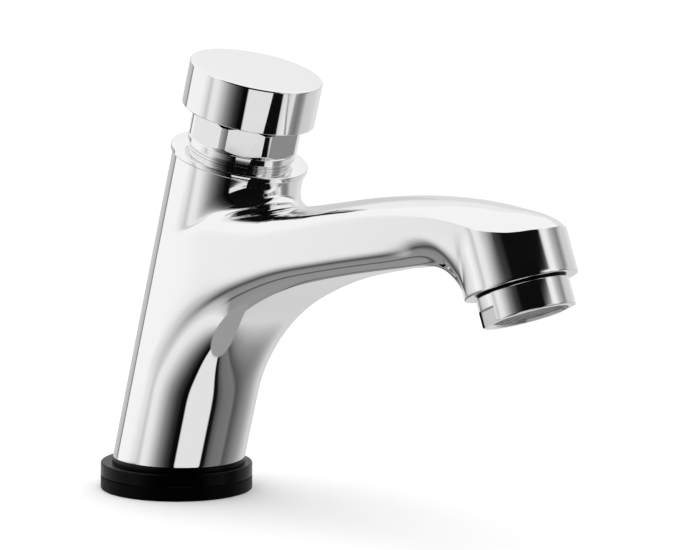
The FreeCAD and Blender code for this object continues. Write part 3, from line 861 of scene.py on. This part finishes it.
    def _wall_rows(self, back: Sequence[float]) -> List[Row]:
        """The wall's rows from its lower to its upper edge, from the column's back to the nose's front.

        Args:
            back: angles of the column's back half.

        Returns:
            The rows.
        """
        straight = len(self.bottom) - 1
        foot = [row[0] for row in self.bottom]
        foot += [OUTLET.at(0, -angle, self.nose_r) for angle in self._rim_angles()]
        edge = self.edge + [row[0] for row in self.front_edges[1:]]
        rows: List[Row] = [[] for _ in range(6)]
        for n, (low, high) in enumerate(zip(foot, edge)):
            length = (high - low).length
            near = (1.0 + 4.0 * max(1 - n / straight, 0)) / length
            far = 1 - mix(self.soft_gap, self.crisp_gap, min(n / straight, 1)) / length
            shares = [0, near, mix(near, far, 0.34), mix(near, far, 0.68), far, 1]
            if n == 0:
                for row, share in zip(rows, shares):
                    height = mix(self.arch.start, self.saddle_side, share)
                    row += [COLUMN.at(height, a, self.r) for a in reversed(back)]
                continue
            slack = self.wall(low) + low.y
            angle, end = (degrees(atan2(p.y, OUTLET.local(p)[1])) for p in (low, high))
            for row, share in zip(rows, shares):
                point = low.lerp(high, share)
                point.y = -(self.wall(point) - slack * (1 - share) ** 4)
                if n >= straight:
                    point = OUTLET.at(OUTLET.local(point)[0], mix(angle, end, share), self.nose_r)
                row.append(point)
            rows[0][-1], rows[5][-1] = low, high
        return rows

    def _lower_rows(self, angles: Sequence[float]) -> List[Row]:
        """Rows of the column below the arch.

        Args:
            angles: the angles of each row's points.

        Returns:
            The rows, from inside the foot upwards.
        """
        t = radians(COLUMN.lean)
        rows = []
        for inset, share in ((3, 0), (0.7, 0), (0, 0), (0, 0.03), (0, 0.22), (0, 0.48), (0, 0.74), (0, 1)):
            r = self.r - inset
            lows = [(self.foot + r * cos(radians(a)) * sin(t)) / cos(t) for a in angles]
            rows.append([COLUMN.at(mix(low, self.arch.start, share), a, r) for low, a in zip(lows, angles)])
        return rows

    def _upper_rows(
        self, angles: Sequence[float], ends: Sequence[float], lows: Sequence[float]
    ) -> List[Row]:
        """Rows of the column above the spout, from the collar down.

        Args:
            angles: the angles of the points at the collar.
            ends: their angles at the saddle.
            lows: heights on the axis of the last row's points.

        Returns:
            The rows; the last is where the saddle's fillet starts.
        """
        rows = []
        for share, above in ((0.0, 0.0), (0.1, 0.0), (0.5, 0.0), (1.0, 2.2), (1.0, 0.0)):
            heights = [mix(self.under_collar, low, share) + above for low in lows]
            rows.append([COLUMN.at(h, mix(a, b, share), self.r) for h, a, b in zip(heights, angles, ends)])
        return rows

    def _rim_rows(self) -> List[Row]:
        """The rim and its turn inwards, from the back of the nose to its front.

        Returns:
            The rows.
        """
        angles = [180 - self.nose_back * k / self.ring_steps for k in range(self.ring_steps + 1)]
        angles += self._rim_angles()
        r = self.nose_r
        shape = ((r, 0.0), (r - 0.5, 0.0), (13.0, 0.0), (12.6, 0.0), (12.5, 0.5), (12.5, 3.0))
        return [[OUTLET.at(h, -a, r) for a in angles] for r, h in shape]

    def build(self, finish: Material) -> Piece:
        """Builds the casting.

        Args:
            finish: its material.

        Returns:
            The piece.
        """
        steps = range(self.ring_steps + 1)
        back, front = ([-90 + way * 90 * k / self.ring_steps for k in steps] for way in (-1, 1))
        saddle_back = [COLUMN.at(self.saddle_side, a, self.r) for a in back]
        back_lows = [self.saddle_heights[0]] * len(back)
        casting = join(
            sheet("casting", self._lower_rows(back[::-1] + front[1:])),
            sheet("wall", self._wall_rows(back)),
            sheet("front_edge", self.front_edges),
            sheet("underside", self.bottom),
            sheet("top", self._upper_rows(front, self.saddle_angles, self.saddle_heights) + self.top_rows),
            sheet("upper_back", self._upper_rows(back, back, back_lows) + [saddle_back]),
            sheet("rim", self._rim_rows()),
        )
        merge_doubles(casting, 0.02)
        apply_modifier(casting, "MIRROR", use_axis=(False, True, False), merge_threshold=0.01 * MM)
        apply_modifier(casting, "SUBSURF", levels=self.levels, render_levels=self.levels)
        merge_doubles(casting, 0.001)
        smooth(casting, 60, weighted=False)
        collar = turned("collar", self.collar, COLUMN.matrix())
        smooth(collar)
        return finish_piece(join(casting, collar), finish, "tap", ["body"])


# ---- press cap, bonnet, outlet ring and base rings


@dataclass(frozen=True)
class PressCap:
    """The press cap: its skirt's edge is at the height low, its top at high, and its inside at ceiling."""

    radius: float = 20.0
    low: float = 122.85
    high: float = 136.2
    inner: float = 17.4
    ceiling: float = 131.2
    hub: Corners = ((5.5, 131.2, 0), (5.5, 123.6, 0), (3.05, 123.6, 0), (3.05, 130.9, 0))

    def build(self, finish: Material, face: Material, painted_shade: Material) -> Piece:
        """Builds the cap.

        Args:
            finish: material of the sides.
            face: material of the top face.
            painted_shade: material of the inside, near-black as painted shade for the dark gap under the
                skirt.

        Returns:
            The piece.
        """
        profile = [
            (self.hub[0][0], self.ceiling, 0), (self.inner, self.ceiling, 0.6), (self.inner, self.low, 0.25),
            (self.radius, self.low, 0.25), (self.radius, self.high, 0.5), (self.radius - 2.4, self.high, 0),
            (8.0, self.high, 0), (0.0, self.high, 0),
        ]
        shell = turned("press_cap", profile, COLUMN.matrix())
        cap = join(shell, turned("hub", self.hub, COLUMN.matrix(), 48))
        merge_doubles(cap)
        smooth(cap)
        finish_piece(cap, finish, "press", ["push_button"])
        # The inside is painted near-black: painted shade in the gap under the skirt.
        paint_inside(cap, painted_shade, COLUMN, self.inner + 0.1, self.low + 0.3)
        paint_inside(cap, face, COLUMN, self.radius, self.high - 0.05)
        return cap


@dataclass(frozen=True)
class Bonnet:
    """The bonnet: a head milled on a round bar, over a ringed neck, and the washer under it.

    The flats are flat_r from the axis, and the chamfers end at that radius too.
    """

    base: float = 114.0
    top: float = 122.1
    head_r: float = 17.0
    flats: int = 8
    flat_r: float = 16.1
    bore_r: float = 9.0
    turn: float = -41.0
    chamfer: float = 0.9
    neck: Corners = (
        (13.8, 96.0, 0), (13.88, 110.6, 0), (15.4, 110.6, 0.15), (15.4, 111.4, 0.05),
        (16.35, 111.7, 0.15), (16.35, 113.6, 0.2), (15.9, 114.02, 0), (9.0, 114.02, 0),
    )
    washer: Corners = ((14.2, 109.82, 0), (15.6, 109.82, 0.15), (15.6, 110.58, 0.15), (14.2, 110.58, 0))

    def build(self, finish: Material) -> List[Piece]:
        """Builds the bonnet and its washer.

        Args:
            finish: material of both.

        Returns:
            The pieces.
        """
        profile = [
            (self.bore_r, self.base, 0), (self.flat_r, self.base, 0),
            (self.head_r, self.base + self.chamfer, 0), (self.head_r, self.top - self.chamfer, 0),
            (self.flat_r, self.top, 0), (self.bore_r, self.top, 0), (self.bore_r, self.base, 0),
        ]
        head = turned("bonnet", profile, segments=192)
        select()
        prism_r = self.flat_r / cos(pi / self.flats) * MM
        bpy.ops.mesh.primitive_cylinder_add(vertices=self.flats, radius=prism_r, depth=30 * MM)
        prism = bpy.context.object
        corner = pi / 2 + pi / self.flats
        prism.data.transform(Matrix.Rotation(radians(self.turn) + corner, 4, "Z"))
        prism.data.transform(Matrix.Translation((0, 0, self.base * MM)))
        boolean(head, prism, "INTERSECT")
        bevel(head, 0.16, 14)
        head.data.transform(COLUMN.matrix())
        bonnet = join(head, turned("neck", self.neck, COLUMN.matrix(), 160))
        smooth(bonnet, 24)
        washer = turned("bonnet_washer", self.washer, COLUMN.matrix())
        smooth(washer)
        return [
            finish_piece(bonnet, finish, "tap", ["bonnet"]),
            finish_piece(washer, finish, "tap", ["bonnet_washer"]),
        ]


@dataclass(frozen=True)
class OutletRing:
    """The screwed outlet ring, with its washer gap and the slots for its key."""

    radius: float = 13.15
    length: float = 8.5
    mouth_r: float = 11.1
    lip_r: float = 10.15
    tube_r: float = 10.65
    thread_r: float = 11.9
    shoulder_r: float = 12.45
    sunk: float = 7.9
    gap: float = 0.5
    slots: int = 2
    slot_depth: float = 1.35
    slot_width: float = 10.0
    slot_length: float = 4.4
    slot_turn: float = -111.0

    def build(self, finish: Material, painted_shade: Material) -> Piece:
        """Builds the ring.

        Args:
            finish: its material.
            painted_shade: material of the shoulder and the thread, near-black as painted shade in the washer
                gap.

        Returns:
            The piece.
        """
        bottom = -self.length
        profile = [
            (self.tube_r, self.sunk, 0), (self.tube_r, bottom + 1.2, 0), (self.lip_r, bottom + 1.2, 0.05),
            (self.lip_r, bottom + 0.6, 0.05), (self.mouth_r, bottom, 0.15), (self.radius, bottom, 0.45),
            (self.radius, -self.gap, 0.3), (self.shoulder_r, -self.gap, 0.05), (self.shoulder_r, 0.0, 0),
            (self.thread_r, 0.2, 0), (self.thread_r, self.sunk, 0), (self.tube_r, self.sunk, 0),
        ]
        ring = turned("outlet_ring", profile, segments=160)
        wide, tall = 4.0, self.slot_length + 4  # the cutter is larger than the slot outside the ring
        away = self.radius - self.slot_depth + wide / 2
        for k in range(self.slots):
            select()
            bpy.ops.mesh.primitive_cube_add(size=1)
            tool = bpy.context.object
            tool.data.transform(Matrix.Diagonal((wide * MM, self.slot_width * MM, tall * MM, 1)))
            tool.data.transform(Matrix.Translation((away * MM, 0, (bottom - 4 + tall / 2) * MM)))
            tool.data.transform(Matrix.Rotation(radians(self.slot_turn) + 2 * pi * k / self.slots, 4, "Z"))
            boolean(ring, tool, "DIFFERENCE")
        bevel(ring, 0.1, 35)
        ring.data.transform(OUTLET.matrix())
        smooth(ring, 28)
        finish_piece(ring, finish, "tap", ["aerator_housing"])
        # The shoulder and thread are painted near-black: painted shade in the washer gap.
        paint_inside(ring, painted_shade, OUTLET, self.radius - 0.3, -self.gap - 0.02)
        return ring


@dataclass(frozen=True)
class BaseRings:
    """The two black rings that the tap stands on.

    The heights of their tops are gasket and top. The column stands on a raised step on the upper one.
    """

    radius: float = 23.45
    hole: float = 11.0
    gasket: float = 4.1
    top: float = 8.2
    step: float = 1.4
    step_r: float = 20.6

    def build(self, rubber: Material, plastic: Material) -> List[Piece]:
        """Builds both rings.

        Args:
            rubber: material of the lower ring.
            plastic: material of the upper ring.

        Returns:
            The pieces.
        """
        hole, r, middle, top, high = self.hole, self.radius, self.gasket, self.top, self.top + self.step
        lower = [(hole, 0, 0), (r, 0, 0.4), (r, middle, 0.4), (hole, middle, 0), (hole, 0, 0)]
        upper = [(hole, middle, 0), (r, middle, 0.4), (r, top, 0.5), (hole, top, 0), (hole, middle, 0)]
        inner, r = hole + 1.2, self.step_r
        raised = [(inner, top, 0), (r, top, 0), (r, high, 0.35), (inner, high, 0)]
        centre = COLUMN.axis(high / cos(radians(COLUMN.lean)))
        gasket = turned("gasket_rubber", lower, segments=160)
        plate = turned("base_ring_plastic", upper, segments=160)
        plate = join(plate, turned("step", raised, Matrix.Translation((centre.x * MM, 0, 0)), 160))
        for ob in (gasket, plate):
            smooth(ob)
        return [
            finish_piece(gasket, rubber, "tap", ["gasket"]),
            finish_piece(plate, plastic, "tap", ["base_ring"]),
        ]


# ---- the studio

# Grey levels of the surroundings by bearing, in degrees from the camera's own. Those of the deep zone go by
# height instead: -180 is straight down and 180 straight up.
BANDS: Dict[Zone, Pairs] = {
    Zone.LOW: (
        (-180, 0.66), (-150, 0.6), (-138, 0.5), (-135, 0.06), (-132, 1.0), (-95, 1.0), (-86, 0.85),
        (-79, 0.62), (-72, 0.9), (-64, 0.86), (-52, 0.5), (-44, 0.26), (-36, 0.12), (-29, 0.04),
        (-20, 0.004), (-12, 0.002), (-11, 0.84), (37, 0.84), (39, 0.003), (46, 0.006), (52, 0.1),
        (62, 0.17), (83, 0.2), (90, 0.09), (98, 0.14), (108, 0.22), (122, 0.32), (136, 0.5),
        (150, 0.7), (180, 0.66),
    ),
    Zone.HEAD: (
        (30, 0.84), (35, 0.84), (37, 0.003), (47, 0.006), (50, 0.6), (54, 0.3), (58, 0.6), (64, 0.3),
        (70, 0.7), (80, 0.85), (85, 0.3), (95, 0.2), (103, 0.3), (112, 0.65), (135, 0.7), (150, 0.8),
        (180, 0.75),
    ),
    Zone.HIGH: (
        (-180, 0.9), (-130, 1.0), (-62, 1.0), (-54, 0.6), (-42, 0.2), (-30, 0.08), (-18, 0.004),
        (38, 0.003), (45, 0.5), (54, 1.0), (74, 1.0), (90, 0.5), (106, 0.25), (125, 0.4), (150, 0.8),
        (180, 0.9),
    ),
    Zone.TOP: (
        (-180, 1.0), (-60, 1.0), (-46, 0.3), (-34, 0.004), (60, 0.004), (66, 0.8), (90, 1.0), (180, 1.0),
    ),
    Zone.DEEP: (
        (-180, 0.34), (-150, 0.3), (-138, 0.3), (-128, 0.07), (-118, 0.3), (-86, 0.26), (-70, 0.07),
        (-58, 0.3), (-40, 0.8), (-20, 1.0),
    ),
}
# Ahead of the camera, how far the high zone takes over from the low one, by rise (see Studio.world).
AHEAD: Pairs = ((-0.342, 0), (-0.334, 1), (-0.3085, 1), (-0.3045, 0), (-0.272, 0), (-0.262, 1))


@dataclass(frozen=True)
class Studio:
    """Camera, deck, lamp and the surroundings that the chrome mirrors.

    The camera is given by its direction round the tap, in degrees, and by what it looks at. Its sensor is
    36 mm wide.
    """

    azimuth: float = 46.2986
    elevation: float = 7.4514
    distance: float = 900.0
    target: Tuple[float, float, float] = (72.3, 0.0, 73.506)
    roll: float = 0.6075
    lens: float = 164.26

    def camera(self) -> None:
        """Makes the camera at the photograph's viewpoint."""
        az, el, roll = radians(self.azimuth), radians(self.elevation), radians(self.roll)
        back = Vector((sin(az) * cos(el), -cos(az) * cos(el), sin(el)))
        right = Vector((cos(az), sin(az), 0))
        up = back.cross(right)
        right, up = right * cos(roll) + up * sin(roll), up * cos(roll) - right * sin(roll)
        data = bpy.data.cameras.new("camera")
        data.lens = self.lens
        data.sensor_width = 36.0
        data.clip_start, data.clip_end = 0.01, 20.0
        camera = bpy.data.objects.new("camera", data)
        bpy.context.scene.collection.objects.link(camera)
        place = (Vector(self.target) + back * self.distance) * MM
        turn = Matrix((right, up, back)).transposed().to_4x4()
        camera.matrix_world = Matrix.Translation(place) @ turn
        bpy.context.scene.camera = camera

    def world(self) -> None:
        """Builds the surroundings: white to the camera, banded to reflections.

        A reflection's direction has a bearing, a height from -1 to 1, and a rise: its height measured
        square to the column, so that it stays the same all round the column. They pick the zone.
        """
        world = bpy.data.worlds.new("studio")
        bpy.context.scene.world = world
        world.use_nodes = True
        tree = world.node_tree
        tree.nodes.clear()
        graph = Graph(tree)
        way = add_node(tree, "ShaderNodeTexCoord").outputs["Generated"]
        links = {"Vector": way, "Angle": radians(90 - self.azimuth)}
        turned_way = add_node(tree, "ShaderNodeVectorRotate", links, rotation_type="Z_AXIS")
        parts = add_node(tree, "ShaderNodeSeparateXYZ", {"Vector": turned_way.outputs["Vector"]}).outputs
        along = add_node(tree, "ShaderNodeSeparateXYZ", {"Vector": way}).outputs["X"]
        height = parts["Z"]
        bearing = graph.math("ARCTAN2", parts["Y"], parts["X"])
        rise = graph.math("MULTIPLY_ADD", along, tan(radians(COLUMN.lean)), height)
        by_bearing = graph.spread(bearing, -pi, pi, "LINEAR")
        by_height = graph.spread(height, -1.0, 1.0, "LINEAR")
        zones = {}
        for zone, stops in BANDS.items():
            place = by_height if zone is Zone.DEEP else by_bearing
            zones[zone] = graph.ramp(place, [((at + 180) / 360, level) for at, level in stops])
        behind = graph.spread(bearing, radians(-78), radians(-86))
        under = graph.spread(height, -0.14, -0.22)
        low = graph.mixed(graph.math("MULTIPLY", behind, under), zones[Zone.LOW], zones[Zone.DEEP])
        right = graph.spread(bearing, radians(30), radians(34))
        raised = graph.spread(rise, -0.335, -0.325)
        low = graph.mixed(graph.math("MULTIPLY", right, raised), low, zones[Zone.HEAD])
        past_left = graph.spread(bearing, radians(-15), radians(-12))
        before_right = graph.spread(bearing, radians(42), radians(38))
        ahead = graph.math("MULTIPLY", past_left, before_right)
        by_rise = graph.spread(rise, -0.5, 0.0, "LINEAR")
        share = graph.ramp(by_rise, [(at * 2 + 1, level) for at, level in AHEAD])
        low = graph.mixed(graph.math("MULTIPLY", ahead, share), low, zones[Zone.HIGH])
        ground = graph.spread(height, -0.93, -0.945)
        low = graph.mixed(ground, low, (0.35, 0.35, 0.35, 1))
        sides = graph.mixed(graph.spread(height, 0.22, 0.34), low, zones[Zone.HIGH])
        sky = graph.mixed(graph.spread(height, 0.43, 0.5), sides, zones[Zone.TOP])
        glossy = add_node(tree, "ShaderNodeBackground", {"Color": sky, "Strength": 1.0})
        plain = add_node(tree, "ShaderNodeBackground", {"Color": (1, 1, 1, 1), "Strength": 1.08})
        path = add_node(tree, "ShaderNodeLightPath").outputs["Is Glossy Ray"]
        both = add_node(tree, "ShaderNodeMixShader", {0: path, 1: plain.outputs[0], 2: glossy.outputs[0]})
        output = add_node(tree, "ShaderNodeOutputWorld", {"Surface": both.outputs[0]})
        output.is_active_output = True

    def deck(self) -> None:
        """Makes the pale deck that the tap stands on. Chrome doesn't mirror it."""
        select()
        bpy.ops.mesh.primitive_plane_add(size=6.0, location=(0, 0, 0))
        deck = bpy.context.object
        deck.name = "deck"
        deck.data.transform(Matrix.Translation((0, 0, -0.05 * MM)))
        deck.data.materials.append(DECK_WHITE.build())
        deck.visible_glossy = False

    def lamp(self) -> None:
        """Makes one soft lamp that gives the tap its shadow on the deck."""
        data = bpy.data.lights.new("overhead", "AREA")
        data.energy = 1.4
        data.size = 0.6
        lamp = bpy.data.objects.new("overhead", data)
        lamp.location = (0.1, -0.15, 0.75)
        bpy.context.scene.collection.objects.link(lamp)
        lamp.visible_glossy = False

    def build(self) -> None:
        """Builds the whole studio and sets a plain view transform."""
        self.camera()
        self.world()
        self.deck()
        self.lamp()
        view = bpy.context.scene.view_settings
        view.view_transform = "Standard"
        view.look = "None"
        view.exposure = 0.0
        view.gamma = 1.0


# ---- the CAD nodes that stay as they are

UNDER_DECK = ("shank", "rubber_washer", "steel_washer", "backnut", "inlet_strainer")


def paint_nodes(finishes: Dict[str, Material]) -> None:
    """Gives the CAD nodes that stay as they are their finishes.

    Args:
        finishes: the record's material slots, each with its material.
    """
    slots = {entry["node"]: entry["material_slot"] for entry in frame["record"]["subparts"]}
    for name, ob in frame["nodes"].items():
        if ob.hide_render:
            continue
        if name in UNDER_DECK:
            ob.visible_glossy = False
        ob.data.materials.clear()
        ob.data.materials.append(finishes[slots[name]])
        for polygon in ob.data.polygons:
            polygon.use_smooth = True
        smooth(ob, 30, weighted=False)


def main() -> None:
    """Builds the tap in order and logs each piece."""
    logging.basicConfig(level=logging.INFO, format="%(name)s %(message)s")
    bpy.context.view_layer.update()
    chrome, turned_chrome, satin = CHROME.build(), CHROME_TURNED.build(), CHROME_SATIN.build()
    # The near-black finish is painted shade for the cap's inside and the outlet ring's washer gap.
    rubber, black, painted_shade = RUBBER.build(), BLACK_PLASTIC.build(), PAINTED_SHADE.build()
    Casting().build(chrome)
    PressCap().build(turned_chrome, satin, painted_shade)
    Bonnet().build(turned_chrome)
    OutletRing().build(turned_chrome, painted_shade)
    BaseRings().build(rubber, black)
    others = {"brass": BRASS, "stainless": STEEL}
    others.update({"white_plastic": WHITE_PLASTIC, "grey_plastic": GREY_PLASTIC})
    finishes = {slot: finish.build() for slot, finish in others.items()}
    paint_nodes({"chrome": turned_chrome, "black_plastic": black, "black_rubber": rubber, **finishes})
    Studio().build()


if __name__ == "__main__":
    main()
